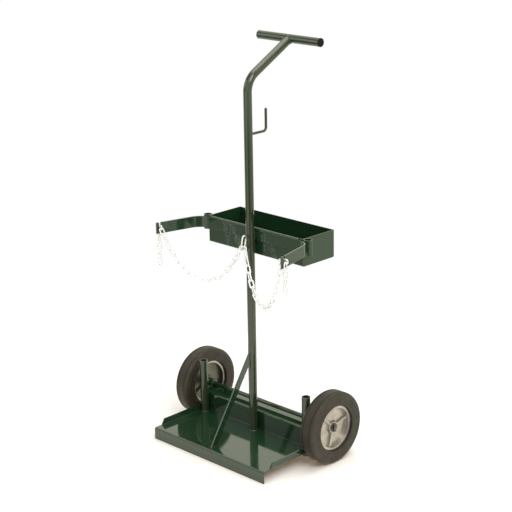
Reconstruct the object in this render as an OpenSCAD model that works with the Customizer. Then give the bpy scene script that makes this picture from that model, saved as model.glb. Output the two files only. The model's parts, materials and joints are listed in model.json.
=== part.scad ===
// Gas cylinder trolley for two cylinders: a folded platform on two wheels, one post with a
// T-handle, a retaining bar with chains, a tool tray and two pairs of welding rod holders.
// Millimetres. The floor is z = 0, the front is -Y, left is -X and right is +X.

/* [Wheels] */
// Outside diameter of the tyre
wheel_d = 203.2; // [185:0.1:225]
// Width of the tyre
tyre_w = 48; // [42:0.5:52]
// Diameter of the rim seat that carries the tyre
rim_seat_d = 120; // [106:1:126]
// Height of the rim's flanges above its seat
flange_rise = 4; // [2:0.5:8]
// Width of the rim over its two flanges
rim_w = 32; // [28:0.5:36]
// Thickness of the rim's flanges
flange_t = 3; // [2.5:0.5:4]
// Diameter of the hub boss at its end
hub_d = 32; // [28:0.5:40]
// Length of the hub
hub_len = 22; // [20:0.5:30]
// Gap between the platform and each tyre
wheel_gap = 7.5; // [6:0.5:30]
// Number of ribs on each face of the wheel centre
rib_count = 3; // [3:1:6]

/* [Axle] */
// Diameter of the solid axle
axle_d = 12.7; // [11:0.1:16]
// Distance of the axle behind the post
axle_back = 50; // [44:0.5:58]
// Height of the axle's underside above the shelf
axle_lift = 6.5; // [5:0.5:12]
// Length of the two angles that carry the axle, from front to back
angle_len = 38; // [32:1:44]
// Width of the foot of each angle
angle_w = 24; // [16:1:30]
// Thickness of the angles
angle_t = 4; // [3:0.5:5]
// Outside diameter of the washers and collars
washer_d = 25; // [21:0.5:30]
// Thickness of the outer washers
washer_t = 2; // [1.5:0.5:3]
// Diameter of the cotter pins
cotter_d = 3.2; // [2.5:0.1:4]

/* [Platform] */
// Width of the platform
platform_w = 436; // [420:1:446]
// Distance from the post to the front of the platform
platform_front = 183; // [165:1:210]
// Height of the platform's top above the floor
platform_h = 34; // [30:0.5:42]
// Thickness of the platform's sheet
sheet_t = 3; // [2:0.5:4]
// Inside radius of the platform's folds
fold_r = 1.5; // [1:0.1:3]
// Height of the side lips above the platform
lip_h = 17; // [10:0.5:30]
// Distance from the platform's front to the lips
lip_setback = 27; // [15:1:60]
// Length of the slanted front end of a lip
lip_slant = 9; // [0:0.5:15]
// Height of the flange along the back of the shelf
shelf_drop = 18; // [10:0.5:30]

/* [Post and handle] */
// Outside diameter of the post, handle and rod holder tubes
tube_d = 24; // [20:0.1:28]
// Wall of those tubes
tube_wall = 2; // [1.5:0.1:3]
// Height of the handle's axis
handle_h = 1129; // [1000:1:1250]
// Distance of the handle behind the post
handle_back = 164; // [150:1:220]
// Length of the handle over its plugs
handle_len = 231; // [180:1:320]
// Slope of the post's top end above the horizontal
post_slope = 29; // [20:1:45]
// Bend radius of the post on its axis
post_bend_r = 56; // [40:1:70]
// Length of the handle plug that shows
plug_cap = 3; // [2:0.5:6]
// Length of the handle plug inside the tube
plug_stem = 14; // [8:1:25]

/* [Hose hook and brace] */
// Diameter of the hook's rod
hook_d = 7.5; // [6:0.5:10]
// Distance of the hook's level part below the handle
hook_drop = 238; // [215:1:350]
// Distance from the post's axis to the hook's upright
hook_reach = 68; // [50:1:90]
// Height of the hook's upright above its level part
hook_rise = 63; // [35:1:80]
// Bend radius of the hook on its axis
hook_bend_r = 11; // [8:0.5:18]
// Width of the brace
brace_w = 18; // [12:0.5:22]
// Thickness of the brace
brace_t = 5; // [4:0.5:8]
// Distance from the post's axis to the foot of the brace
brace_foot = 158; // [130:1:165]
// Height at which the brace meets the post
brace_top = 257; // [200:1:300]

/* [Retaining bar] */
// Height of the flat bar
bar_h = 32; // [28:0.5:40]
// Thickness of the flat bar
bar_t = 5; // [4:0.5:6]
// Height of the bar's lower edge above the floor
bar_z = 595.5; // [560:0.5:640]
// Distance from the tray's side to the start of the bar's bend
bar_inset = 10; // [0:0.5:16]
// Bend radius of the bar on its centreline
bar_bend_r = 45; // [38:1:60]
// Length of each straight wing
wing_len = 112; // [95:1:130]
// Angle that the wings open outwards
wing_flare = 14; // [0:1:20]
// Distance from the wing's tip to the middle of its chain slot
slot_setback = 11; // [9:0.5:16]
// Width of the chain slot
slot_w = 5.6; // [5:0.1:6.5]
// Depth of the chain slot
slot_depth = 22; // [20.5:0.5:24]

/* [Tool tray] */
// Width of the tray
tray_w = 361; // [320:1:366]
// Depth of the tray from front to back
tray_d = 124; // [90:1:150]
// Height of the tray
tray_h = 77; // [50:1:110]
// Thickness of the tray's sheet
tray_t = 1.6; // [1.2:0.1:3]
// Outside radius of the tray's lower folds
tray_fold_r = 4; // [3.2:0.1:8]
// Height of the tray's rim above the bar's upper edge
tray_rise = 3; // [0:0.5:10]

/* [Rod holders] */
// Height of the top of the lower rod tubes
rod_tube_top = 191; // [120:1:300]
// Length of the rod tubes below the platform
rod_tube_drop = 12; // [8:0.5:18]
// Length of the upper rod guides
rod_guide_len = 41; // [30:1:60]

/* [Chain] */
// Diameter of the chain's wire
wire_d = 4; // [3.5:0.1:4.2]
// Pitch of the chain
link_pitch = 21; // [20.5:0.5:24]
// Inside width of a link
link_gap = 7.3; // [6.8:0.1:7.6]
// Length of the left chain as a share of its span
left_slack = 1.5; // [1.3:0.01:1.8]
// Length of the right chain as a share of its span
right_slack = 1.66; // [1.4:0.01:2]
// Links in the left tail
left_tail = 5; // [2:1:8]
// Links in the right tail
right_tail = 4; // [2:1:8]
// Diameter of the anchor eye's wire
eye_d = 5; // [4.5:0.1:5.5]
// Inside width of the anchor eye
eye_gap = 8; // [7:0.5:10]
// Height of the anchor eye above the bar's lower edge
eye_rise = 13; // [9:0.5:18]
// Distance from the post's surface to the middle of the eye's bow
eye_reach = 4; // [3:0.5:8]
// Diameter of the anchor link's wire
anchor_d = 4.5; // [4:0.1:5]
// Inside length of the anchor link
anchor_len = 30; // [26:0.5:36]
// Inside width of the anchor link
anchor_gap = 9; // [8.5:0.5:12]
// Forward lean of the anchor link under the chain's pull
anchor_lean = 12; // [0:1:25]

/* [Hidden] */
$fn = 48;

PAINT = [0.16, 0.24, 0.17];
RUBBER = [0.24, 0.22, 0.18];
CAST = [0.60, 0.57, 0.51];
ZINC = [0.86, 0.86, 0.83];
STEEL = [0.55, 0.55, 0.53];
BRONZE = [0.60, 0.48, 0.30];
PLASTIC = [0.06, 0.06, 0.05];

// Gap that a weld or a push fit closes
weld_gap = 0.1;
// Radial clearance of a part that turns on the axle
run_gap = 0.05;
// Clearance between links, and of a wheel along its axle
loose_gap = 0.3;
// Overlap that joins or cuts cleanly
lap = 1;

tube_r = tube_d / 2;
axle_r = axle_d / 2;
wheel_r = wheel_d / 2;
half_w = platform_w / 2;
track = platform_w + 2 * wheel_gap + tyre_w;
fold_out = fold_r + sheet_t;

// The back wall stands behind the post by the radius of its fold, and its top folds back as a shelf
wall_y = tube_r + fold_r;
shelf_z = wheel_r - axle_r - axle_lift;
shelf_back = axle_back + angle_len / 2 + fold_out + lap;
lip_front = lip_setback - platform_front;

// The box of the trolley is centred on the origin from front to back
rear_reach = max(handle_back + tube_r, axle_back + wheel_r);
post_y = (platform_front - rear_reach) / 2;

// The angles stand on the ends of the shelf and hold the axle
angle_foot = shelf_z + weld_gap;
angle_out = half_w - lap;
rim_flange_r = rim_seat_d / 2 + flange_rise;
hub_in = track / 2 - hub_len / 2;
hub_out = track / 2 + hub_len / 2;
washer_x = hub_out + loose_gap;
cotter_x = washer_x + washer_t + loose_gap + cotter_d / 2;
axle_half = cotter_x + cotter_d;
collar_in = half_w + loose_gap;
bush_wall = 2.5;
bush_r = axle_r + run_gap + bush_wall;

// The post's bend
post_turn = 90 - post_slope;
post_corner_z = handle_h - handle_back * tan(post_slope);
post_tangent = post_bend_r * tan(post_turn / 2);
post_straight_z = post_corner_z - post_tangent;
post_top_len = norm([handle_back, handle_h - post_corner_z]) - post_tangent;
hook_z = handle_h - hook_drop;
tube_sides = 36;
bend_steps = 12;
post_rings = bend_steps + 3;

// The retaining bar passes behind the post and the tray hangs behind the bar
bar_top = bar_z + bar_h;
bar_y = tube_r + bar_t / 2;
bar_back = tube_r + bar_t;
bar_half = tray_w / 2 - bar_inset;
bar_bend_steps = 24;
tray_z = bar_top + tray_rise - tray_h;

// Rod holders: the lower tubes stand in the platform's rear corners, the guides between the tray's
// sides and the bar's bends
rod_x = half_w - sheet_t - tube_r - weld_gap;
rod_y = wall_y - tube_r - weld_gap;
rod_bottom_z = platform_h - sheet_t - rod_tube_drop;
guide_x = tray_w / 2 + tube_r + weld_gap;
guide_reach = bar_bend_r + bar_t / 2 + tube_r + weld_gap;
guide_y = bar_y - bar_bend_r + sqrt(guide_reach ^ 2 - (guide_x - bar_half) ^ 2);
guide_top = bar_top + tray_rise;

// Links: a link's inside length is its pitch and the play between two links
link_len = link_pitch + loose_gap;
link_offset = (link_gap + wire_d) / 2;
bow_x = (link_len - link_gap) / 2;
// Clearance of a chain's end links, which turn in their neighbours
turn_gap = 0.8;
bow_play = (link_gap + loose_gap) / 2 - turn_gap;
function unit(v) = v / norm(v);
// What is left of a direction square to another, as a unit vector
function square_to(v, axis) = unit(v - (v * axis) * axis);

// Directions at a wing: out of its outer face, and towards its tip
function wing_out(side) = [side * cos(wing_flare), sin(wing_flare), 0];
function wing_along(side) = [side * sin(wing_flare), -cos(wing_flare), 0];
UP = [0, 0, 1];

// Middle of the chain slot, at the height of its floor
function bend_centre(side) = [side * bar_half, bar_y - bar_bend_r, 0];
function slot_floor(side) = bend_centre(side) + bar_bend_r * wing_out(side)
  + (wing_len - slot_setback) * wing_along(side) + (bar_top - slot_depth) * UP;

// The link in a slot stands on edge with its lower wire on the slot's floor
function slot_link_centre(side) = slot_floor(side) + (weld_gap + wire_d / 2 + link_offset) * UP;
function slot_bow(side) = slot_link_centre(side) - bow_x * wing_out(side);

// The tail hangs on the lower wire of the slot link, just outside the wing
function tail_pivot(side) = slot_floor(side) + (weld_gap + wire_d / 2) * UP
  + (bar_t / 2 + wire_d / 2 + 2 * loose_gap) * wing_out(side);

// The anchor link hangs on the eye and carries the middle link of the chain
eye_bow_y = -tube_r - eye_reach;
eye_offset = (eye_gap + eye_d) / 2;
eye_z = bar_z + eye_rise;
eye_wire = [0, eye_bow_y - eye_offset, eye_z];
anchor_down = [0, -sin(anchor_lean), -cos(anchor_lean)];
anchor_top = eye_wire - (eye_d / 2 + loose_gap) * anchor_down;
anchor_centre = anchor_top + anchor_len / 2 * anchor_down;
anchor_floor = anchor_top + anchor_len * anchor_down;
middle_link_centre = anchor_floor + (link_offset - wire_d / 2 - loose_gap) * anchor_down;
middle_axis = cross([1, 0, 0], anchor_down);
function middle_bow(side) = middle_link_centre + [side * bow_x, 0, 0];

// A slack chain of equal links: the slope of link i is a multiple of its distance from the
// lowest link, and the steepness and the lowest link follow from the chain's span and rise.
solve_steps = 32;
least_steep = 0.001;
most_steep = 30;
function total(list) = list * [for (x = list) 1];
function link_slope(i, steep, low) = atan(steep * (i - low));
function chain_run(n, steep, low) = total([for (i = [0 : n - 1]) cos(link_slope(i, steep, low))]);
function chain_rise(n, steep, low) = total([for (i = [0 : n - 1]) sin(link_slope(i, steep, low))]);
function find_low(n, steep, rise, a, b, tries) =
  let (m = (a + b) / 2)
  tries == 0 ? m
  : chain_rise(n, steep, m) > rise ? find_low(n, steep, rise, m, b, tries - 1)
  : find_low(n, steep, rise, a, m, tries - 1);
function low_link(n, steep, rise) = find_low(n, steep, rise, -n, 2 * n, solve_steps);
function find_steep(n, run, rise, a, b, tries) =
  let (m = sqrt(a * b))
  tries == 0 ? m
  : chain_run(n, m, low_link(n, m, rise)) > run ? find_steep(n, run, rise, m, b, tries - 1)
  : find_steep(n, run, rise, a, m, tries - 1);

// An odd count of links puts a level link at both ends, against upright links
function chain_span(side) = norm(slot_bow(side) - middle_bow(side));
function chain_slack(side) = side < 0 ? left_slack : right_slack;
function link_count(side) = 2 * floor(chain_span(side) * chain_slack(side) / link_pitch / 2) + 1;
function hang(n, start, finish) =
  let (
    step = finish - start,
    reach = norm([step.x, step.y]),
    ahead = [step.x, step.y, 0] / reach,
    rise = step.z / link_pitch,
    steep = find_steep(n, reach / link_pitch, rise, least_steep, most_steep, solve_steps),
    low = low_link(n, steep, rise)
  )
  [for (i = 0, p = start; i <= n;
    p = p + link_pitch * (cos(link_slope(i, steep, low)) * ahead + sin(link_slope(i, steep, low)) * UP),
    i = i + 1) p];

// The end links pull their neighbours' bows in the direction of the chain, found by a first pass
function chain_points(side) =
  let (
    n = link_count(side),
    first = hang(n, middle_bow(side), slot_bow(side)),
    start_pull = square_to(first[1] - first[0], middle_axis),
    finish_pull = square_to(first[n - 1] - first[n], wing_along(side))
  )
  hang(n, middle_bow(side) + bow_play * start_pull, slot_bow(side) + bow_play * finish_pull);

// Places what a module draws around the post's axis into the part's frame
module at_post() {
  translate([0, post_y, 0]) children();
}

// Extrudes a section drawn in Y and Z to both sides of the middle plane
module across(width) {
  rotate([90, 0, 90]) translate([0, 0, -width / 2]) linear_extrude(width) children();
}

// Quarter of a folded sheet, with the fold's axis at the origin
module fold(turn) {
  rotate(turn) intersection() {
    difference() {
      circle(fold_out);
      circle(fold_r);
    }
    square(fold_out + lap);
  }
}

module ring(r_out, r_in, len) {
  difference() {
    cylinder(r = r_out, h = len);
    translate([0, 0, -lap]) cylinder(r = r_in, h = len + 2 * lap);
  }
}

// A wire link around the origin: long along X, flat in the XY plane
module wire_loop(wire, gap, len) {
  bow = (len - gap) / 2;
  offset_y = (gap + wire) / 2;
  for (side = [-1, 1]) {
    translate([-bow, side * offset_y, 0]) rotate([0, 90, 0]) cylinder(d = wire, h = 2 * bow);
    translate([side * bow, 0, 0]) rotate([0, 0, -side * 90])
      rotate_extrude(angle = 180) translate([offset_y, 0]) circle(d = wire);
  }
}

// A frame at a point: X along one unit vector, Z along another that is square to it
module frame_at(point, along, normal) {
  third = cross(normal, along);
  multmatrix([
    [along.x, third.x, normal.x, point.x],
    [along.y, third.y, normal.y, point.y],
    [along.z, third.z, normal.z, point.z],
    [0, 0, 0, 1]
  ]) children();
}

module chain_link(point, along, normal) {
  frame_at(point, along, normal) wire_loop(wire_d, link_gap, link_len);
}

// Side profile of the folded sheet: front flange, platform, back wall, shelf and rear flange
module platform_section() {
  flat_front = fold_out - platform_front;
  flat_back = wall_y - fold_r;
  wall_foot = platform_h + fold_r;
  shelf_fold = shelf_z - fold_out;
  shelf_front = wall_y + fold_out;
  shelf_end = shelf_back - fold_out;
  translate([-platform_front, 0]) square([sheet_t, platform_h - fold_out]);
  translate([flat_front, platform_h - fold_out]) fold(90);
  translate([flat_front, platform_h - sheet_t]) square([flat_back - flat_front, sheet_t]);
  translate([flat_back, wall_foot]) fold(270);
  translate([wall_y, wall_foot]) square([sheet_t, shelf_fold - wall_foot]);
  translate([shelf_front, shelf_fold]) fold(90);
  translate([shelf_front, shelf_z - sheet_t]) square([shelf_end - shelf_front, sheet_t]);
  translate([shelf_end, shelf_fold]) fold(0);
  translate([shelf_back - sheet_t, shelf_z - shelf_drop]) square([sheet_t, shelf_drop - fold_out]);
}

// Upright lip along the right side of the platform, with a slanted front end
module side_lip() {
  lip_foot = platform_h + fold_r;
  lip_top = platform_h + lip_h;
  translate([half_w - fold_out, wall_y, lip_foot]) rotate([90, 0, 0])
    linear_extrude(wall_y - lip_front) fold(270);
  translate([half_w - sheet_t, 0, 0]) rotate([90, 0, 90]) linear_extrude(sheet_t)
    polygon([
      [lip_front, lip_foot], [wall_y, lip_foot], [wall_y, lip_top], [lip_front + lip_slant, lip_top]
    ]);
}

module base_plate() {
  color(PAINT) at_post() difference() {
    union() {
      difference() {
        across(platform_w) platform_section();
        for (side = [-1, 1])
          translate([side * half_w - fold_out, lip_front, platform_h - sheet_t - lap])
            cube([2 * fold_out, wall_y - fold_r - lip_front, sheet_t + 2 * lap]);
      }
      side_lip();
      mirror([1, 0, 0]) side_lip();
    }
    for (side = [-1, 1])
      translate([side * rod_x, rod_y, rod_bottom_z])
        cylinder(r = tube_r + weld_gap, h = rod_tube_top - rod_bottom_z);
  }
}

// Pair of short angles on the shelf: each has a foot and an upright with a round head for the axle
module axle_angle() {
  head_wall = 6;
  head_r = axle_r + head_wall;
  half_len = angle_len / 2;
  color(PAINT) at_post() difference() {
    for (side = [-1, 1]) {
      translate([side > 0 ? angle_out - angle_t : -angle_out, axle_back, 0])
        rotate([90, 0, 90]) linear_extrude(angle_t) {
          polygon([
            [-half_len, angle_foot], [half_len, angle_foot], [half_len, angle_foot + angle_t],
            [head_r, wheel_r], [-head_r, wheel_r], [-half_len, angle_foot + angle_t]
          ]);
          translate([0, wheel_r]) circle(head_r);
        }
      translate([side > 0 ? angle_out - angle_w : -angle_out, axle_back - half_len, angle_foot])
        cube([angle_w, angle_len, angle_t]);
    }
    translate([-half_w, axle_back, wheel_r]) rotate([0, 90, 0])
      cylinder(r = axle_r + weld_gap, h = platform_w);
  }
}

module axle() {
  color(STEEL) at_post() translate([0, axle_back, wheel_r]) difference() {
    translate([-axle_half, 0, 0]) rotate([0, 90, 0]) cylinder(r = axle_r, h = 2 * axle_half);
    for (side = [-1, 1])
      translate([side * cotter_x, 0, -axle_d]) cylinder(r = cotter_d / 2 + loose_gap, h = 2 * axle_d);
  }
}

// One ring of points round the bent tube: the foot, the steps of the bend, and the end that is
// cut to the round of the handle
function post_ring(k, r) =
  let (
    turn = post_turn * min(max(k - 1, 0), bend_steps) / bend_steps,
    middle = k == 0 ? [0, 0, platform_h + weld_gap]
      : [0, post_bend_r * (1 - cos(turn)), post_straight_z + post_bend_r * sin(turn)],
    ahead = [0, sin(turn), cos(turn)],
    rear = [0, cos(turn), -sin(turn)],
    handle_r = tube_r + weld_gap
  )
  [for (j = [0 : tube_sides - 1])
    let (
      angle = j * 360 / tube_sides,
      run = k < post_rings - 1 ? 0 : post_top_len - sqrt(handle_r ^ 2 - (r * sin(angle)) ^ 2)
    )
    middle + r * cos(angle) * [1, 0, 0] + r * sin(angle) * rear + run * ahead];

// Bent tube, open at both ends
module post_tube() {
  function at(shell, k, j) = (shell * post_rings + k) * tube_sides + j % tube_sides;
  function patch(a, b, c, d) = [[a, b, c], [a, c, d]];
  last = post_rings - 1;
  points = [for (r = [tube_r, tube_r - tube_wall]) for (k = [0 : last]) each post_ring(k, r)];
  faces = [for (j = [0 : tube_sides - 1]) each concat(
    [for (k = [0 : last - 1])
      each patch(at(0, k, j), at(0, k + 1, j), at(0, k + 1, j + 1), at(0, k, j + 1))],
    [for (k = [0 : last - 1])
      each patch(at(1, k, j), at(1, k, j + 1), at(1, k + 1, j + 1), at(1, k + 1, j))],
    patch(at(0, 0, j), at(0, 0, j + 1), at(1, 0, j + 1), at(1, 0, j)),
    patch(at(0, last, j), at(1, last, j), at(1, last, j + 1), at(0, last, j + 1))
  )];
  color(PAINT) at_post() polyhedron(points, faces);
}

module handle_tube() {
  len = handle_len - 2 * plug_cap;
  color(PAINT) at_post() translate([-len / 2, handle_back, handle_h]) rotate([0, 90, 0])
    ring(tube_r, tube_r - tube_wall, len);
}

// Push-in end plug: a cap with a rounded edge and a stem with two gripping ribs
module handle_plug(side) {
  stem_r = tube_r - tube_wall - 3 * weld_gap;
  edge_r = plug_cap / 2;
  rib_r = tube_r - tube_wall - weld_gap;
  rib_shares = [0.35, 0.75];
  color(PLASTIC) at_post()
    translate([side * (handle_len / 2 - plug_cap), handle_back, handle_h]) rotate([0, side * 90, 0])
    rotate_extrude() {
      translate([0, -plug_stem]) square([stem_r, plug_stem + lap]);
      for (share = rib_shares) translate([0, -plug_stem * share]) square([rib_r, lap]);
      square([tube_r, plug_cap - edge_r]);
      square([tube_r - edge_r, plug_cap]);
      translate([tube_r - edge_r, plug_cap - edge_r]) circle(edge_r);
    }
}

// Flat bar on edge from the platform to the front of the post
module brace_bar() {
  slope = atan2(brace_top - platform_h, brace_foot - tube_r);
  foot_half = brace_w / 2 / sin(slope);
  top_half = brace_w / 2 / cos(slope);
  axis_z = platform_h + brace_foot * tan(slope);
  color(PAINT) at_post() difference() {
    across(brace_t) polygon([
      [-brace_foot - foot_half, platform_h], [-brace_foot + foot_half, platform_h],
      [0, axis_z - top_half], [0, axis_z + top_half]
    ]);
    cylinder(r = tube_r + weld_gap, h = handle_h);
  }
}

module hose_hook() {
  color(PAINT) at_post() difference() {
    union() {
      translate([0, 0, hook_z]) rotate([-90, 0, 0]) cylinder(d = hook_d, h = hook_reach - hook_bend_r);
      translate([0, hook_reach - hook_bend_r, hook_z + hook_bend_r]) rotate([0, 90, 0])
        rotate_extrude(angle = 90) translate([hook_bend_r, 0]) circle(d = hook_d);
      translate([0, hook_reach, hook_z + hook_bend_r])
        cylinder(d = hook_d, h = hook_rise - hook_bend_r - hook_d / 2);
      translate([0, hook_reach, hook_z + hook_rise - hook_d / 2]) sphere(d = hook_d);
    }
    cylinder(r = tube_r + weld_gap, h = handle_h);
  }
}

// Side profile of the tray, or of its inside when inset by the sheet
module tray_section(inset, over) {
  r = tray_fold_r - inset;
  translate([inset, tray_fold_r]) square([tray_d - 2 * inset, tray_h - tray_fold_r + over]);
  translate([tray_fold_r, inset]) square([tray_d - 2 * tray_fold_r, tray_h - inset]);
  for (y = [tray_fold_r, tray_d - tray_fold_r]) translate([y, tray_fold_r]) circle(r);
}

module tool_tray() {
  color(PAINT) at_post() translate([0, bar_back, tray_z]) difference() {
    across(tray_w) tray_section(0, 0);
    across(tray_w - 2 * tray_t) tray_section(tray_t, lap);
  }
}

// One long edge of the right half of the bar in plan: round the bend, then out to the wing's tip
function bar_edge(r) =
  let (centre = bend_centre(1))
  concat(
    [for (i = [0 : bar_bend_steps])
      let (a = 90 - (90 - wing_flare) * i / bar_bend_steps)
      [centre.x + r * cos(a), centre.y + r * sin(a)]],
    [[centre.x, centre.y] + r * [cos(wing_flare), sin(wing_flare)]
      + wing_len * [sin(wing_flare), -cos(wing_flare)]]
  );
function reverse(list) = [for (i = [len(list) - 1 : -1 : 0]) list[i]];

// Plan of the retaining bar, from the right bend round both wings
module bar_plan() {
  rear = bar_edge(bar_bend_r + bar_t / 2);
  front = bar_edge(bar_bend_r - bar_t / 2);
  half = concat(rear, reverse(front));
  polygon(concat(half, [for (p = reverse(half)) [-p.x, p.y]]));
}

// Slot for a chain link, open at the top edge of the right wing
module chain_slot() {
  foot_z = bar_top - slot_depth + slot_w / 2;
  translate(bend_centre(1)) rotate([0, 0, wing_flare])
    translate([bar_bend_r - bar_t, slot_setback - wing_len, foot_z]) {
      translate([0, -slot_w / 2, 0]) cube([2 * bar_t, slot_w, bar_h]);
      rotate([0, 90, 0]) cylinder(d = slot_w, h = 2 * bar_t);
    }
}

module retaining_bar() {
  color(PAINT) at_post() difference() {
    translate([0, 0, bar_z]) linear_extrude(bar_h) bar_plan();
    chain_slot();
    mirror([1, 0, 0]) chain_slot();
  }
}

// Lower welding rod holder: a tube with a closed bottom, through the platform's rear corner
module rod_tube(side) {
  len = rod_tube_top - rod_bottom_z;
  color(PAINT) at_post() translate([side * rod_x, rod_y, rod_bottom_z]) difference() {
    cylinder(r = tube_r, h = len);
    translate([0, 0, sheet_t]) cylinder(r = tube_r - tube_wall, h = len);
  }
}

// Upper welding rod holder: a short open tube between the bar's bend and the tray
module rod_guide(side) {
  color(PAINT) at_post() translate([side * guide_x, guide_y, guide_top - rod_guide_len])
    ring(tube_r, tube_r - tube_wall, rod_guide_len);
}

// Wire staple on the front of the post
module chain_anchor_eye() {
  color(PAINT) at_post() difference() {
    translate([0, 0, eye_z]) {
      for (side = [-1, 1])
        translate([side * eye_offset, 0, 0]) rotate([90, 0, 0]) cylinder(d = eye_d, h = -eye_bow_y);
      translate([0, eye_bow_y, 0]) rotate([0, 0, 180])
        rotate_extrude(angle = 180) translate([eye_offset, 0]) circle(d = eye_d);
    }
    cylinder(r = tube_r + weld_gap, h = handle_h);
  }
}

module anchor_link() {
  color(ZINC) at_post() frame_at(anchor_centre, anchor_down, [1, 0, 0])
    wire_loop(anchor_d, anchor_gap, anchor_len);
}

module chain_middle_link() {
  color(ZINC) at_post() chain_link(middle_link_centre, [1, 0, 0], middle_axis);
}

module slot_link(side) {
  color(ZINC) at_post()
    chain_link(slot_link_centre(side), wing_out(side), cross(wing_out(side), UP));
}

// Turn about a link's length that squares its bow up to the link that holds it
function link_roll(along, holder) =
  let (
    level = unit(cross(along, UP)),
    bow = square_to(holder, along)
  )
  atan(cross(level, bow) * along / (level * bow));

// Slack chain from the middle link to the link in a slot, turning a quarter at every link. Towards
// both ends the links also roll, until the end links are square to the links that hold them.
module chain(side) {
  points = chain_points(side);
  last = len(points) - 2;
  roll_links = 4;
  start_roll = link_roll(unit(points[1] - points[0]), middle_axis);
  end_roll = link_roll(unit(points[last + 1] - points[last]), wing_along(side));
  color(ZINC) at_post() for (i = [0 : last]) {
    along = unit(points[i + 1] - points[i]);
    level = unit(cross(along, UP));
    roll = start_roll * max(0, 1 - i / roll_links) + end_roll * max(0, 1 - (last - i) / roll_links);
    bow = cos(roll) * level + sin(roll) * cross(along, level);
    chain_link((points[i] + points[i + 1]) / 2, along, i % 2 == 0 ? cross(bow, along) : bow);
  }
}

// Free end of the chain, hanging outside a wing
module chain_tail(side, count) {
  first_z = wire_d / 2 + loose_gap - link_len / 2;
  color(ZINC) at_post() for (i = [0 : count - 1])
    chain_link(
      tail_pivot(side) + (first_z - i * link_pitch) * UP, -UP,
      i % 2 == 0 ? wing_out(side) : wing_along(side)
    );
}

// Places a wheel part, drawn around Z, on its end of the axle
module on_axle(side) {
  at_post() translate([side * track / 2, axle_back, wheel_r]) rotate([0, 90, 0]) children();
}

// Section of a band with rounded corners, from one radius to another
module tyre_band(r_in, r_out, width, round_in, round_out) {
  translate([r_in + round_in, -width / 2]) square([r_out - round_out - r_in - round_in, width]);
  translate([r_in, round_in - width / 2]) square([round_in + lap, width - 2 * round_in]);
  translate([r_out - round_out - lap, round_out - width / 2])
    square([round_out + lap, width - 2 * round_out]);
  for (side = [-1, 1]) {
    translate([r_in + round_in, side * (width / 2 - round_in)]) circle(round_in);
    translate([r_out - round_out, side * (width / 2 - round_out)]) circle(round_out);
  }
}

// Solid rubber tyre with two grooves round its tread and raised rings on its sidewalls
module tyre(side) {
  seat_r = rim_seat_d / 2 + weld_gap;
  flange_r = rim_flange_r + weld_gap;
  bead_w = rim_w - 2 * flange_t - 2 * weld_gap;
  shoulder_r = 10;
  foot_r = 4;
  ring_d = 1.6;
  ring_shares = [0.3, 0.62];
  groove_d = 1.2;
  groove_w = 2;
  groove_x = tyre_w / 2 - shoulder_r - groove_w;
  color(RUBBER) on_axle(side) rotate_extrude() difference() {
    union() {
      translate([seat_r, -bead_w / 2]) square([flange_r - seat_r + shoulder_r, bead_w]);
      tyre_band(flange_r, wheel_r, tyre_w, foot_r, shoulder_r);
      for (face = [-1, 1], share = ring_shares)
        translate([flange_r + share * (wheel_r - flange_r), face * tyre_w / 2]) circle(d = ring_d);
    }
    for (face = [-1, 1]) translate([wheel_r - groove_d, face * groove_x - groove_w / 2])
      square([groove_d + lap, groove_w]);
  }
}

// Cast wheel centre: a flanged rim, a disc, a tapered hub and ribs on both faces
module wheel_centre(side) {
  rim_t = 3.5;
  web_t = 8;
  rib_t = 7;
  rib_turn = 14;
  hub_flare = 5;
  seat_r = rim_seat_d / 2;
  rim_in = seat_r - rim_t;
  hub_r = hub_d / 2;
  rib_hub = hub_len / 2 - lap;
  rib_rim = (rim_w / 2 + web_t / 2) / 2;
  color(CAST) on_axle(side) rotate([0, 0, side > 0 ? -rib_turn : 180 / rib_count]) difference() {
    union() {
      rotate_extrude() {
        translate([rim_in, -rim_w / 2]) square([rim_t, rim_w]);
        for (face = [-1, 1])
          translate([rim_in, face * (rim_w - flange_t) / 2 - flange_t / 2])
            square([rim_flange_r - rim_in, flange_t]);
        translate([0, -web_t / 2]) square([rim_in + lap, web_t]);
        polygon([
          [0, -hub_len / 2], [hub_r, -hub_len / 2], [hub_r + hub_flare, 0], [hub_r, hub_len / 2],
          [0, hub_len / 2]
        ]);
      }
      for (i = [1 : rib_count]) rotate([0, 0, i * 360 / rib_count])
        rotate([90, 0, 0]) translate([0, 0, -rib_t / 2]) linear_extrude(rib_t) polygon([
          [hub_r / 2, -rib_hub], [rim_in + lap, -rib_rim], [rim_in + lap, rib_rim], [hub_r / 2, rib_hub]
        ]);
    }
    translate([0, 0, -hub_len]) cylinder(r = bush_r + weld_gap, h = 2 * hub_len);
  }
}

module hub_bush(side) {
  color(BRONZE) on_axle(side) translate([0, 0, -hub_len / 2])
    ring(bush_r, axle_r + run_gap, hub_len);
}

// Collar on the axle between the platform and the wheel
module axle_collar(side) {
  len = hub_in - loose_gap - collar_in;
  color(PAINT) at_post() translate([side > 0 ? collar_in : -collar_in - len, axle_back, wheel_r])
    rotate([0, 90, 0]) ring(washer_d / 2, axle_r + run_gap, len);
}

module washer(side) {
  color(STEEL) at_post() translate([side > 0 ? washer_x : -washer_x - washer_t, axle_back, wheel_r])
    rotate([0, 90, 0]) ring(washer_d / 2, axle_r + run_gap, washer_t);
}

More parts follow.
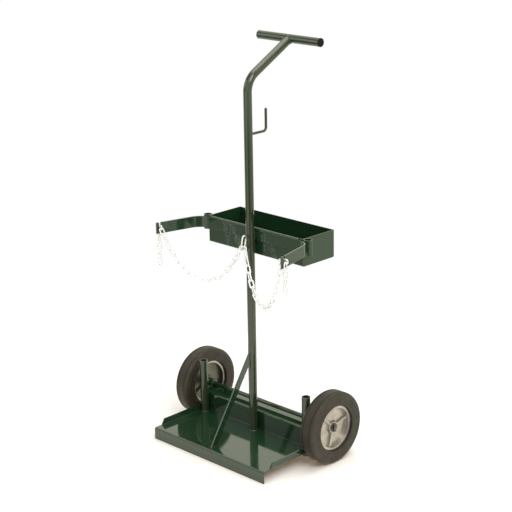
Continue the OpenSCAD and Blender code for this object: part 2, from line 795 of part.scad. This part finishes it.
// Split pin through the axle: an eye above, two spread ends below
module cotter_pin(side) {
  eye_r = cotter_d;
  leg_share = 0.6;
  leg_d = leg_share * cotter_d;
  end_len = cotter_d * 2;
  spread = 40;
  color(STEEL) at_post() translate([side * cotter_x, axle_back, wheel_r]) {
    translate([0, 0, -axle_r - lap]) cylinder(d = cotter_d, h = axle_d + 2 * lap);
    translate([0, 0, axle_r + lap + eye_r]) rotate([0, 90, 0])
      rotate_extrude() translate([eye_r, 0]) circle(d = leg_d);
    for (turn = [-spread, spread]) translate([0, 0, -axle_r - lap]) rotate([180 + turn, 0, 0])
      cylinder(d = leg_d, h = end_len);
  }
}

base_plate();
axle_angle();
axle();
post_tube();
handle_tube();
handle_plug(-1);  // handle_plug_left
handle_plug(1);  // handle_plug_right
brace_bar();
hose_hook();
tool_tray();
retaining_bar();
rod_tube(-1);  // rod_tube_left
rod_tube(1);  // rod_tube_right
rod_guide(-1);  // rod_guide_left
rod_guide(1);  // rod_guide_right
chain_anchor_eye();
anchor_link();
chain_middle_link();
slot_link(-1);  // slot_link_left
slot_link(1);  // slot_link_right
chain(-1);  // chain_left
chain(1);  // chain_right
chain_tail(-1, left_tail);  // chain_tail_left
chain_tail(1, right_tail);  // chain_tail_right
tyre(-1);  // tyre_left
tyre(1);  // tyre_right
wheel_centre(-1);  // wheel_centre_left
wheel_centre(1);  // wheel_centre_right
hub_bush(-1);  // hub_bush_left
hub_bush(1);  // hub_bush_right
axle_collar(-1);  // axle_collar_left
axle_collar(1);  // axle_collar_right
washer(-1);  // washer_left
washer(1);  // washer_right
cotter_pin(-1);  // cotter_pin_left
cotter_pin(1);  // cotter_pin_right
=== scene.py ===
"""Gas cylinder trolley: materials, weld beads, soft edges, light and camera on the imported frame."""
import json
import math

import bmesh
import bpy
from mathutils import Matrix, Vector


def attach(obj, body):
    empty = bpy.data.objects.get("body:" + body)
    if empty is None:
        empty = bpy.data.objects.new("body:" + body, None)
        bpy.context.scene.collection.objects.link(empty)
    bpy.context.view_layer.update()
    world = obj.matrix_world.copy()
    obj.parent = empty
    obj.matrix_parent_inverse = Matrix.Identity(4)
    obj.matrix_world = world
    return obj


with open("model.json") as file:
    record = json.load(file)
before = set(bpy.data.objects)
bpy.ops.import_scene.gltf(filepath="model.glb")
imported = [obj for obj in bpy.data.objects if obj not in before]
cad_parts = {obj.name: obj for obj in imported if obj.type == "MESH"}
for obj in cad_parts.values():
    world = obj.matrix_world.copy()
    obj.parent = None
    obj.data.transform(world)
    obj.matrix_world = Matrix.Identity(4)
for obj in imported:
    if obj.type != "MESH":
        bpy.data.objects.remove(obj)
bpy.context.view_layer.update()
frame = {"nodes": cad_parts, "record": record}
nodes = frame["nodes"]
scene = bpy.context.scene

# Places on the trolley in millimetres: the post's axis, and others measured from it
MM = 0.001
POST_Y = 3.5
TUBE_R = 12.0
PLATFORM_TOP = 34.0
AXLE_BACK = 50.0
WHEEL_R = 101.6
SIDES = ((-1, "left"), (1, "right"))

# Camera, fitted to the photograph, with lens and sensor in millimetres
AZIMUTH = math.radians(45.0)
ELEVATION = math.radians(17.3)
ROLL = math.radians(-1.0)
TARGET = Vector((0.0211, 0.0037, 0.5554))
DISTANCE = 4.0075
LENS = 103.05
SENSOR = 36
CLIP_END = 100


def add_camera():
    """The photograph's view."""
    flat = math.cos(ELEVATION)
    back = Vector((math.sin(AZIMUTH) * flat, -math.cos(AZIMUTH) * flat, math.sin(ELEVATION)))
    right = Vector((math.cos(AZIMUTH), math.sin(AZIMUTH), 0))
    up = back.cross(right)
    side = right * math.cos(ROLL) + up * math.sin(ROLL)
    top = up * math.cos(ROLL) - right * math.sin(ROLL)
    place = TARGET + back * DISTANCE
    camera = bpy.data.objects.new("camera", bpy.data.cameras.new("camera"))
    camera.data.lens = LENS
    camera.data.sensor_width = SENSOR
    camera.data.clip_end = CLIP_END
    camera.matrix_world = Matrix((
        (side.x, top.x, back.x, place.x),
        (side.y, top.y, back.y, place.y),
        (side.z, top.z, back.z, place.z),
        (0, 0, 0, 1),
    ))
    scene.collection.objects.link(camera)
    scene.camera = camera


# Sockets of the mix node when it mixes colours
MIX_A = 6
MIX_B = 7
MIX_RESULT = 2
# Part of a noise's range that ramps and spreads take up
NOISE_LOW = 0.3
NOISE_HIGH = 0.7
NOISE_ROUGHNESS = 0.55
PLAIN_DETAIL = 4.0
FINE_DETAIL = 6.0


def linear(r, g, b):
    """sRGB from 0 to 255 as linear colour."""
    out = []
    for value in (r, g, b):
        c = value / 255
        out.append(c / 12.92 if c <= 0.04045 else ((c + 0.055) / 1.055) ** 2.4)
    return (*out, 1.0)


def feed(tree, source, socket):
    """Link a value to a socket, or set it there if it is a constant."""
    if isinstance(source, bpy.types.NodeSocket):
        tree.links.new(source, socket)
    else:
        socket.default_value = source


def build(tree, kind, feeds, **settings):
    """A node with its settings made and its sockets fed, by name or by number."""
    node = tree.nodes.new(kind)
    for name, value in settings.items():
        setattr(node, name, value)
    for socket, source in feeds.items():
        feed(tree, source, node.inputs[socket])
    return node


def coordinates(tree, kind="Object"):
    """Places in the part's own coordinates, or directions for the world."""
    return tree.nodes.new("ShaderNodeTexCoord").outputs[kind]


def vector_math(tree, operation, feeds, result="Vector"):
    """An operation on vectors."""
    return build(tree, "ShaderNodeVectorMath", feeds, operation=operation).outputs[result]


def value_math(tree, operation, *values):
    """An operation on plain values."""
    return build(tree, "ShaderNodeMath", dict(enumerate(values)), operation=operation).outputs[0]


def noise(tree, grain, detail=PLAIN_DETAIL):
    """Noise in the part's own coordinates, in cycles per metre."""
    return build(tree, "ShaderNodeTexNoise", {
        "Vector": coordinates(tree),
        "Scale": grain,
        "Detail": detail,
        "Roughness": NOISE_ROUGHNESS,
    }).outputs["Fac"]


def ramp(tree, value, low, high, start=NOISE_LOW, end=NOISE_HIGH):
    """Colour ramp from one colour to another over a range of a value."""
    node = build(tree, "ShaderNodeValToRGB", {"Fac": value})
    for stop, place, colour in zip(node.color_ramp.elements, (start, end), (low, high)):
        stop.position = place
        stop.color = colour
    return node.outputs["Color"]


def spread(tree, value, low, high, start=NOISE_LOW, end=NOISE_HIGH):
    """A range of a value mapped to a range of numbers."""
    return build(tree, "ShaderNodeMapRange", {
        "Value": value,
        "From Min": start,
        "From Max": end,
        "To Min": low,
        "To Max": high,
    }).outputs["Result"]


def grey(value):
    """A colour of one brightness."""
    return (value, value, value, 1)


def profile(tree, value, table, unit=1.0):
    """Brightness from a table of places and brightnesses, with the places in a unit."""
    (first, at_first), (last, at_last) = table[0], table[-1]
    share = spread(tree, value, 0.0, 1.0, first * unit, last * unit)
    colour = ramp(tree, share, grey(at_first), grey(at_last), 0.0, 1.0)
    for place, brightness in table[1:-1]:
        stop = colour.node.color_ramp.elements.new((place - first) / (last - first))
        stop.color = grey(brightness)
    return colour


def mix(tree, amount, a, b, blend="MIX"):
    """A colour between two others, or blended from them in another way."""
    feeds = {"Factor": amount, MIX_A: a, MIX_B: b}
    return build(tree, "ShaderNodeMix", feeds, data_type="RGBA", blend_type=blend).outputs[MIX_RESULT]


def distance_from_middle(tree):
    """Distance of a point from the trolley's middle plane, in metres."""
    split = build(tree, "ShaderNodeSeparateXYZ", {0: coordinates(tree)})
    return value_math(tree, "ABSOLUTE", split.outputs["X"])


def distance_from_axle(tree):
    """Distance of a point from the axle's line, in metres."""
    axle = (0, (POST_Y + AXLE_BACK) * MM, WHEEL_R * MM)
    centred = vector_math(tree, "SUBTRACT", {0: coordinates(tree), 1: axle})
    across = vector_math(tree, "MULTIPLY", {0: centred, 1: (0, 1, 1)})
    return vector_math(tree, "LENGTH", {0: across}, "Value")


# Dark and light tone of each finish, as sRGB
ENAMEL = ((28, 56, 34), (33, 62, 39))
OLIVE = ((41, 54, 32), (46, 59, 36))
RUBBER = ((39, 34, 22), (51, 45, 31))
CAST = ((152, 147, 138), (186, 181, 172))
# Painted shade: darker tones for the wheel centres' inner faces, where less light falls
SHADED_CAST = ((82, 85, 73), (104, 107, 93))
ZINC = ((244, 246, 248), (252, 253, 255))
STEEL = ((86, 84, 79), (108, 106, 100))
BRONZE = ((150, 118, 70), (176, 140, 86))
BLACK = ((11, 11, 10), (17, 17, 16))
# Mottle of the finishes that come up twice, in cycles per metre
ENAMEL_GRAIN = 9.0
CAST_GRAIN = 40.0
STEEL_GRAIN = 60.0
ENAMEL_ROUGH_GRAIN = 35.0
ENAMEL_IOR = 1.62
RUBBER_IOR = 1.5
PLUG_SPECULAR = 0.15
# The tubes and the hook look a little browner than the sheets
OLIVE_PIECES = ("post_tube", "handle_tube", "hose_hook", "rod_tube_left", "rod_tube_right")
# Places in metres: the outer faces of the wheel centres and the axle's bare ends, from the middle
# plane, and the rim's lip, from the axle. The axle's finish changes at its bare ends. The painted
# shade on the wheel centres' inner faces stops at their outer faces and at the rim's lip
OUTER_FACE = (0.2460, 0.2470)
BARE_END = (0.2165, 0.2175)
RIM_LIP = (0.0572, 0.0582)
# Radius in millimetres and brightness of painted light: painted shade at the rim and beside the raised
# rings, painted highlights on them
RING_LIGHT_AND_SHADE = (
    (64.0, 0.45), (66.5, 0.85), (71.0, 0.95), (73.3, 0.5), (75.3, 2.1), (77.6, 0.6), (80.0, 1.0),
    (83.5, 1.05), (85.6, 0.45), (87.6, 2.4), (90.2, 0.7), (93.0, 1.5), (96.5, 1.4), (99.5, 0.8),
)


def new_material(name):
    """A material with its tree and its surface shader."""
    material = bpy.data.materials.new(name)
    material.use_nodes = True
    tree = material.node_tree
    return material, tree, tree.nodes["Principled BSDF"]


def mottle(tree, tones, grain, detail=PLAIN_DETAIL):
    """A colour that wavers between a dark and a light tone."""
    dark, light = tones
    return ramp(tree, noise(tree, grain, detail), linear(*dark), linear(*light))


def coat(tree, shader, colour, rough, rough_grain, metallic=0.0):
    """Colour, wavering roughness and share of metal."""
    feed(tree, colour, shader.inputs["Base Color"])
    feed(tree, spread(tree, noise(tree, rough_grain), *rough), shader.inputs["Roughness"])
    feed(tree, metallic, shader.inputs["Metallic"])


def bump(tree, shader, grain, detail, distance, strength):
    """Fine skin of a surface."""
    node = build(tree, "ShaderNodeBump", {
        "Height": noise(tree, grain, detail),
        "Distance": distance,
        "Strength": strength,
    })
    feed(tree, node.outputs["Normal"], shader.inputs["Normal"])


def enamel_material(name, tones):
    """Glossy dark green enamel with a little orange peel."""
    material, tree, shader = new_material(name)
    tone = mottle(tree, tones, ENAMEL_GRAIN)
    coat(tree, shader, tone, rough=(0.05, 0.11), rough_grain=ENAMEL_ROUGH_GRAIN)
    shader.inputs["IOR"].default_value = ENAMEL_IOR
    bump(tree, shader, grain=260.0, detail=2.0, distance=0.00003, strength=0.2)
    return material


def tyre_material():
    """Brown-black rubber, matt and slightly dusty, with painted highlights on the raised rings and
    painted shade beside them and at the rim.
    """
    material, tree, shader = new_material("tyre_rubber")
    tone = mottle(tree, RUBBER, grain=28.0, detail=FINE_DETAIL)
    # Painted highlights and shade on the sidewall's rings, by the distance from the axle
    ring_light = profile(tree, distance_from_axle(tree), RING_LIGHT_AND_SHADE, MM)
    ring_lit_tone = mix(tree, 1.0, tone, ring_light, "MULTIPLY")
    coat(tree, shader, ring_lit_tone, rough=(0.5, 0.68), rough_grain=60.0)
    shader.inputs["IOR"].default_value = RUBBER_IOR
    bump(tree, shader, grain=900.0, detail=3.0, distance=0.0002, strength=0.25)
    return material


def cast_material():
    """Bare cast metal of the wheel centres, with painted shade that makes the inner faces darker, but
    for the rim's lip.
    """
    material, tree, shader = new_material("cast_metal")
    unshaded_tone = mottle(tree, CAST, CAST_GRAIN, FINE_DETAIL)
    # Painted shade on the inner faces, kept off the outer faces and the rim's lip
    shaded_tone = mottle(tree, SHADED_CAST, CAST_GRAIN, FINE_DETAIL)
    outside = spread(tree, distance_from_middle(tree), 0.0, 1.0, *OUTER_FACE)
    lip = spread(tree, distance_from_axle(tree), 0.0, 1.0, *RIM_LIP)
    tone = mix(tree, value_math(tree, "MAXIMUM", outside, lip), shaded_tone, unshaded_tone)
    coat(tree, shader, tone, rough=(0.26, 0.4), rough_grain=90.0, metallic=0.75)
    bump(tree, shader, grain=700.0, detail=3.0, distance=0.0002, strength=0.3)
    return material


def metal_material(name, tones, grain, **finish):
    """Plain metal of one tone."""
    material, tree, shader = new_material(name)
    coat(tree, shader, mottle(tree, tones, grain), **finish)
    return material


def axle_material():
    """The axle: enamel between the wheels, plain steel under them."""
    material, tree, shader = new_material("axle_finish")
    outside = spread(tree, distance_from_middle(tree), 0.0, 1.0, *BARE_END)
    green = mottle(tree, ENAMEL, ENAMEL_GRAIN)
    bare = mottle(tree, STEEL, STEEL_GRAIN)
    tone = mix(tree, outside, green, bare)
    coat(tree, shader, tone, rough=(0.1, 0.25), rough_grain=ENAMEL_ROUGH_GRAIN, metallic=outside)
    shader.inputs["IOR"].default_value = ENAMEL_IOR
    return material


def plug_material():
    """Black plastic of the handle's plugs."""
    material, tree, shader = new_material("black_plastic")
    coat(tree, shader, mottle(tree, BLACK, grain=70.0), rough=(0.4, 0.55), rough_grain=150.0)
    shader.inputs["Specular IOR Level"].default_value = PLUG_SPECULAR
    bump(tree, shader, grain=1500.0, detail=2.0, distance=0.0001, strength=0.2)
    return material


MATERIALS = {
    "paint": enamel_material("green_enamel", ENAMEL),
    "tyre": tyre_material(),
    "wheel_metal": cast_material(),
    "zinc": metal_material(
        "bright_zinc", ZINC, grain=120.0, rough=(0.22, 0.38), rough_grain=260.0, metallic=0.6
    ),
    "steel": metal_material(
        "plain_steel", STEEL, STEEL_GRAIN, rough=(0.3, 0.45), rough_grain=200.0, metallic=1.0
    ),
    "bronze": metal_material(
        "bush_bronze", BRONZE, grain=80.0, rough=(0.35, 0.5), rough_grain=300.0, metallic=1.0
    ),
    "plug": plug_material(),
}


def dress_nodes():
    """Each node in the material of its slot, the axle and the tubes in their own."""
    for part in frame["record"]["subparts"]:
        node = nodes[part["node"]]
        node.data.materials.clear()
        node.data.materials.append(MATERIALS[part["material_slot"]])
    nodes["axle"].data.materials[0] = axle_material()
    olive = enamel_material("olive_enamel", OLIVE)
    for name in OLIVE_PIECES:
        nodes[name].data.materials[0] = olive


# Rounded edges on the cut and folded pieces, in millimetres
EDGE_WIDTHS = {
    "base_plate": 0.5,
    "axle_angle": 0.8,
    "retaining_bar": 0.7,
    "tool_tray": 0.35,
    "brace_bar": 0.6,
    "wheel_centre_left": 1.4,
    "wheel_centre_right": 1.4,
}
EDGE_SEGMENTS = 2
EDGE_ANGLE = math.radians(35)
# Points this near to each other are joined first, in metres
JOIN_DISTANCE = 1e-6


def soften_edges():
    """Rounded edges by modifiers, which leave the nodes' own meshes as they are."""
    for name, width in EDGE_WIDTHS.items():
        node = nodes[name]
        join = node.modifiers.new("join", "WELD")
        join.merge_threshold = JOIN_DISTANCE
        bevel = node.modifiers.new("edges", "BEVEL")
        bevel.width = width * MM
        bevel.segments = EDGE_SEGMENTS
        bevel.limit_method = "ANGLE"
        bevel.angle_limit = EDGE_ANGLE
        bevel.use_clamp_overlap = True
        normals = node.modifiers.new("normals", "WEIGHTED_NORMAL")
        normals.keep_sharp = False


# Weld beads: length of a ripple and of a step in millimetres, least steps, and sides of the section
RIPPLE = 2.6
BEAD_STEP = 0.65
LEAST_STEPS = 8
BEAD_SIDES = 10
# Shares of the radius: rise of a ripple, slow waver with its two rates, and size of an open end
RIPPLE_RISE = 0.12
WAVER = 0.07
WAVER_RATES = (1.7, 0.37)
OPEN_END = 0.35
TINY = 1e-9


def add_object(name, mesh):
    """An object in the scene from a mesh under work."""
    data = bpy.data.meshes.new(name)
    mesh.to_mesh(data)
    mesh.free()
    piece = bpy.data.objects.new(name, data)
    scene.collection.objects.link(piece)
    return piece


def circle(steps):
    """Angles once round, in radians."""
    return [2 * math.pi * i / steps for i in range(steps)]


def bead_radius(s, total, radius, closed):
    """Radius of a bead at a length along it: rippled, uneven and smaller at open ends."""
    wave = 0.5 + 0.5 * math.cos(2 * math.pi * s / RIPPLE)
    fast, slow = WAVER_RATES
    swell = 1 + RIPPLE_RISE * wave + WAVER * math.sin(fast * s) * math.sin(slow * s + 1)
    if closed:
        return radius * swell
    nearest_end = min(s, total - s)
    return radius * swell * min(1.0, OPEN_END + (1 - OPEN_END) * math.sqrt(nearest_end / radius / 2))


def bead_rings(path, radius, closed):
    """Rings of points round a path."""
    lengths = [0.0]
    for a, b in zip(path, path[1:]):
        lengths.append(lengths[-1] + (b - a).length)
    total = lengths[-1]
    count = max(LEAST_STEPS, int(total / BEAD_STEP))
    turns = circle(BEAD_SIDES)
    rings = []
    across = None
    for i in range(count if closed else count + 1):
        s = total * i / count
        k = max(j for j, d in enumerate(lengths[:-1]) if d <= s + TINY)
        share = (s - lengths[k]) / max(TINY, lengths[k + 1] - lengths[k])
        point = path[k].lerp(path[k + 1], share)
        along = (path[k + 1] - path[k]).normalized()
        if across is None:
            across = along.orthogonal().normalized()
        across = (across - along * across.dot(along)).normalized()
        other = along.cross(across)
        r = bead_radius(s, total, radius, closed)
        rings.append([point + (across * math.cos(a) + other * math.sin(a)) * r for a in turns])
    return rings


def turned_to(last, first):
    """The first ring of a closed bead, turned so that it meets the last one without a twist."""
    def turned(n):
        return first[n:] + first[:n]

    def twist(n):
        return sum((a.co - b.co).length for a, b in zip(last, turned(n)))

    return turned(min(range(BEAD_SIDES), key=twist))


def bead(name, points, radius, closed=False):
    """A rippled bead along points in millimetres, measured from the post's axis."""
    path = [Vector((x, y + POST_Y, z)) for x, y, z in points]
    if closed:
        path.append(path[0].copy())
    mesh = bmesh.new()
    rings = [[mesh.verts.new(spot * MM) for spot in ring] for ring in bead_rings(path, radius, closed)]
    pairs = list(zip(rings, rings[1:]))
    if closed:
        pairs.append((rings[-1], turned_to(rings[-1], rings[0])))
    for lower, upper in pairs:
        for j in range(BEAD_SIDES):
            n = (j + 1) % BEAD_SIDES
            mesh.faces.new((lower[j], lower[n], upper[n], upper[j]))
    if not closed:
        mesh.faces.new(list(reversed(rings[0])))
        mesh.faces.new(rings[-1])
    for face in mesh.faces:
        face.smooth = True
    bmesh.ops.recalc_face_normals(mesh, faces=mesh.faces)
    piece = add_object(name, mesh)
    piece.data.materials.append(MATERIALS["paint"])
    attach(piece, "frame")


def arc(centre, radius, start, end, steps=40):
    """Points on a level arc, with the angles in degrees."""
    x, y, z = centre
    turns = [math.radians(start + (end - start) * i / steps) for i in range(steps + 1)]
    return [(x + radius * math.cos(t), y + radius * math.sin(t), z) for t in turns]


# Places of the beads, in millimetres from the post's axis, and where a bead lies round a foot,
# in degrees
FOOT_Z = PLATFORM_TOP + 0.4
ALL_ROUND = (0, 350)
POST_RING_R = TUBE_R + 0.7
ROD_RING_R = TUBE_R + 0.6
ROD_TUBE = (202.9, 1.4)
ROD_TUBE_ARCS = {"left": (-110, 15), "right": (165, 290)}
HANDLE_CENTRE = Vector((0, 164, 1129))
HANDLE_SLOPE = math.radians(29)
SADDLE_R = TUBE_R + 0.5
SADDLE_REACH = TUBE_R + 0.9
HOOK_FACE_R = TUBE_R + 0.5
HOOK_Z = 891
HOOK_BEAD_R = 4.3
BRACE_X = 2.9
BRACE_TOP_Y = -math.sqrt(TUBE_R ** 2 - BRACE_X * BRACE_X) - 0.5
SHELF_Z = 89.2
ANGLE_FRONT = 30.6
ANGLE_BACK = 69.4
ANGLE_INNER = 192.6
AXLE_BEAD_X = 212.6
AXLE_BEAD_R = 7.1
TRAY_BEAD = (168, 14.6, 628.2)
# Straight beads on both sides: name, the two ends on the right side, and radius
SIDE_BEADS = (
    ("weld_brace_foot_{}", (BRACE_X, -168.0, FOOT_Z), (BRACE_X, -148.0, FOOT_Z), 1.5),
    ("weld_brace_top_{}", (BRACE_X, BRACE_TOP_Y, 242.5), (BRACE_X, BRACE_TOP_Y, 272.0), 1.5),
    ("weld_bar_{}", (5.6, 11.1, 597.0), (5.6, 11.1, 626.0), 1.8),
    ("weld_guide_tray_{}", (181.5, 30.2, 592.0), (181.5, 30.2, 627.5), 1.3),
    ("weld_guide_bar_{}", (192.8, 12.2, 597.5), (192.8, 12.2, 625.0), 1.3),
    ("weld_angle_{}_front", (196, ANGLE_FRONT, SHELF_Z), (212, ANGLE_FRONT, SHELF_Z), 1.4),
    ("weld_angle_{}_back", (196, ANGLE_BACK, SHELF_Z), (212, ANGLE_BACK, SHELF_Z), 1.2),
    ("weld_angle_{}_inner", (ANGLE_INNER, 36, SHELF_Z), (ANGLE_INNER, 64, SHELF_Z), 1.4),
)


def handle_saddle():
    """Line where the post meets the handle."""
    ahead = Vector((0, math.cos(HANDLE_SLOPE), math.sin(HANDLE_SLOPE)))
    rear = Vector((0, math.sin(HANDLE_SLOPE), -math.cos(HANDLE_SLOPE)))
    saddle = []
    for turn in circle(steps=72):
        v = SADDLE_R * math.sin(turn)
        reach = math.sqrt(max(0.0, SADDLE_REACH ** 2 - v * v))
        sideways = Vector((SADDLE_R * math.cos(turn), 0, 0))
        saddle.append(tuple(HANDLE_CENTRE + sideways + rear * v - ahead * reach))
    return saddle


def hook_root():
    """Line where the hose hook meets the post."""
    root = []
    for turn in circle(steps=36):
        x = HOOK_BEAD_R * math.cos(turn)
        y = math.sqrt(HOOK_FACE_R ** 2 - x * x)
        root.append((x, y, HOOK_Z + HOOK_BEAD_R * math.sin(turn)))
    return root


def add_welds():
    """Beads where the solids of the frame are welded."""
    foot = arc((0, 0, FOOT_Z), POST_RING_R, *ALL_ROUND, steps=60)
    bead("weld_post_foot", foot, radius=2.0, closed=True)
    for side, word in SIDES:
        x, y = ROD_TUBE
        foot = arc((side * x, y, FOOT_Z), ROD_RING_R, *ROD_TUBE_ARCS[word])
        bead(f"weld_rod_tube_{word}", foot, radius=1.7)
    bead("weld_handle", handle_saddle(), radius=1.7, closed=True)
    bead("weld_hook", hook_root(), radius=1.2, closed=True)
    axle_ring = arc((0, 0, 0), AXLE_BEAD_R, *ALL_ROUND, steps=48)
    for side, word in SIDES:
        for name, start, end, radius in SIDE_BEADS:
            bead(name.format(word), [(side * x, y, z) for x, y, z in (start, end)], radius)
        ring = [(side * AXLE_BEAD_X, AXLE_BACK + u, WHEEL_R + v) for u, v, _ in axle_ring]
        bead(f"weld_axle_{word}", ring, radius=1.3, closed=True)
    # Seam between the bar's upper edge and the tray
    x, y, z = TRAY_BEAD
    bead("weld_tray", [(-x, y, z), (x, y, z)], radius=2.4)


# Floor, in metres: half its width, its cells, and where it turns from matt to plain white
FLOOR_HALF = 30
FLOOR_CELLS = 8
NEAR_FLOOR = 0.7
FAR_FLOOR = 1.6
# The matt floor as a source of light and as it is seen, and what is added to it in gloss and in view
FLOOR_COLOUR = (0.88, 0.91, 0.97, 1)
FLOOR_SEEN = (1.056, 1.083, 1.08, 1)
GLOSS_TINT = (0.29, 0.20, 0.07, 1)
SHADOW_TINT = (0.08, 0.03, 0.0, 1)
# The room in gloss: tint, brightness of its right and its pale sides, and of the dark one at the left
# front on the floor and above it
ROOM_TINT = (1.0, 0.97, 0.82)
ROOM_RIGHT = 0.95
ROOM_PALE = 1.35
FLOOR_DARK = 0.5
WORLD_DARK = 0.12
LEFT_FRONT = (-0.7071, -0.7071, 0)
RIGHT_FRONT = (0.7071, -0.7071, 0)
# Where these sides lie, from 0 at the right rear to 1 at the left front
RIGHT_STOP = 0.25
PALE_STOPS = (0.5, 0.93)
DARK_STOP = 0.985
# Edges of the dark strip towards the right front, and brightness there by the distance on the floor
STRIP_EDGES = (0.85, 0.97)
RIGHT_FRONT_DARK = ((1.2, 1.0), (1.8, 0.12), (3.6, 0.12), (4.8, 0.7))
# Brightness of the floor beside the strip, and the distances between which it rises to that
FAR_GLOW = 1.3
GLOW_RISE = (3.6, 4.8)
WHITE = (1, 1, 1, 1)
# Soft light: colour, weakest and strongest, and where it is strongest
SOFT_COLOUR = (1.0, 0.98, 0.95, 1)
SOFT_LIGHT = (0.15, 1.0)
SOFT_SIDE = (0.85, 0.53, 0)
# Lamps: name, place, aim, diameter in metres, watts and colour
LAMPS = (
    ("key", (2.4, -1.0, 3.0), (0, 0, 0.4), 1.8, 40, (1.0, 0.97, 0.92)),
    ("fill", (-2.4, -2.0, 2.0), (0, 0, 0.5), 2.0, 18, (1.0, 0.99, 0.97)),
    ("top", (0.0, 0.6, 3.2), (0, 0, 0), 2.6, 45, (1.0, 0.98, 0.95)),
)


def camera_ray(tree):
    """1 for rays from the camera, 0 for the others."""
    return tree.nodes.new("ShaderNodeLightPath").outputs["Is Camera Ray"]


def seen_ray(tree):
    """1 for rays from the camera or by way of gloss or glass, 0 for the others."""
    path = tree.nodes.new("ShaderNodeLightPath")
    value = path.outputs["Is Camera Ray"]
    for name in ("Is Glossy Ray", "Is Transmission Ray"):
        value = value_math(tree, "MAXIMUM", value, path.outputs[name])
    return value


def room_level(strength):
    """The room's colour at a brightness."""
    return (*(strength * c for c in ROOM_TINT), 1)


def facing(tree, heading, side):
    """How far a direction points to a side of the room, from -1 to 1."""
    return vector_math(tree, "DOT_PRODUCT", {0: heading, 1: side}, "Value")


def room_colour(tree, direction, dark, plain=1.0, deepest=1.0):
    """White for the camera; what gloss and glass show is warmer, with two dark sides of the room."""
    flat = vector_math(tree, "MULTIPLY", {0: direction, 1: (1, 1, 0)})
    heading = vector_math(tree, "NORMALIZE", {0: flat})
    turn = spread(tree, facing(tree, heading, LEFT_FRONT), 0.0, 1.0, -1.0, 1.0)
    shade = ramp(tree, turn, room_level(ROOM_RIGHT), room_level(dark), RIGHT_STOP, DARK_STOP)
    for place in PALE_STOPS:
        shade.node.color_ramp.elements.new(place).color = room_level(ROOM_PALE)
    dim = spread(tree, facing(tree, heading, RIGHT_FRONT), plain, deepest, *STRIP_EDGES)
    scaled = vector_math(tree, "SCALE", {0: shade, "Scale": dim})
    return mix(tree, camera_ray(tree), scaled, WHITE)


def empty_tree(owner, kind):
    """The tree of a material or a world with its output alone, and where the surface goes."""
    owner.use_nodes = True
    owner.node_tree.nodes.clear()
    return owner.node_tree, owner.node_tree.nodes.new(kind).inputs["Surface"]


def add_floor():
    """Matt floor that keeps the shadow near the trolley and turns plain white away from it."""
    mesh = bmesh.new()
    bmesh.ops.create_grid(mesh, x_segments=FLOOR_CELLS, y_segments=FLOOR_CELLS, size=FLOOR_HALF)
    floor = add_object("floor", mesh)
    material = bpy.data.materials.new("white_floor")
    tree, surface = empty_tree(material, "ShaderNodeOutputMaterial")
    seen = seen_ray(tree)
    matt = build(tree, "ShaderNodeBsdfDiffuse", {"Color": mix(tree, seen, FLOOR_COLOUR, FLOOR_SEEN)})
    tint = mix(tree, camera_ray(tree), GLOSS_TINT, SHADOW_TINT)
    glow = build(tree, "ShaderNodeEmission", {"Color": tint, "Strength": seen})
    near = build(tree, "ShaderNodeAddShader", {0: matt.outputs[0], 1: glow.outputs[0]})
    place = coordinates(tree)
    away = vector_math(tree, "LENGTH", {0: place}, "Value")
    deepest = profile(tree, away, RIGHT_FRONT_DARK)
    plain = spread(tree, away, 1.0, FAR_GLOW, *GLOW_RISE)
    room = room_colour(tree, place, FLOOR_DARK, plain, deepest)
    far = build(tree, "ShaderNodeEmission", {"Color": room})
    share = value_math(tree, "MULTIPLY", seen, spread(tree, away, 0.0, 1.0, NEAR_FLOOR, FAR_FLOOR))
    blend = build(tree, "ShaderNodeMixShader", {0: share, 1: near.outputs[0], 2: far.outputs[0]})
    feed(tree, blend.outputs[0], surface)
    floor.data.materials.append(material)


def add_world():
    """Soft light, and the room for the camera, gloss and glass."""
    scene.world = bpy.data.worlds.new("studio")
    tree, surface = empty_tree(scene.world, "ShaderNodeOutputWorld")
    direction = coordinates(tree, "Generated")
    strength = spread(tree, facing(tree, direction, SOFT_SIDE), *SOFT_LIGHT, -1.0, 1.0)
    soft = build(tree, "ShaderNodeBackground", {"Color": SOFT_COLOUR, "Strength": strength})
    room = build(tree, "ShaderNodeBackground", {
        "Color": room_colour(tree, direction, WORLD_DARK),
        "Strength": 1.0,
    })
    seen = seen_ray(tree)
    blend = build(tree, "ShaderNodeMixShader", {0: seen, 1: soft.outputs[0], 2: room.outputs[0]})
    feed(tree, blend.outputs[0], surface)


def add_lamps():
    """Round area lamps."""
    for name, place, aim, size, energy, colour in LAMPS:
        lamp = bpy.data.lights.new(name, "AREA")
        lamp.shape = "DISK"
        lamp.size = size
        lamp.energy = energy
        lamp.color = colour
        light = bpy.data.objects.new(name, lamp)
        light.location = place
        light.rotation_euler = (Vector(aim) - Vector(place)).to_track_quat("-Z", "Y").to_euler()
        scene.collection.objects.link(light)


add_camera()
dress_nodes()
soften_edges()
add_welds()
add_floor()
add_world()
add_lamps()
scene.view_settings.view_transform = "Standard"

bpy.context.view_layer.update()
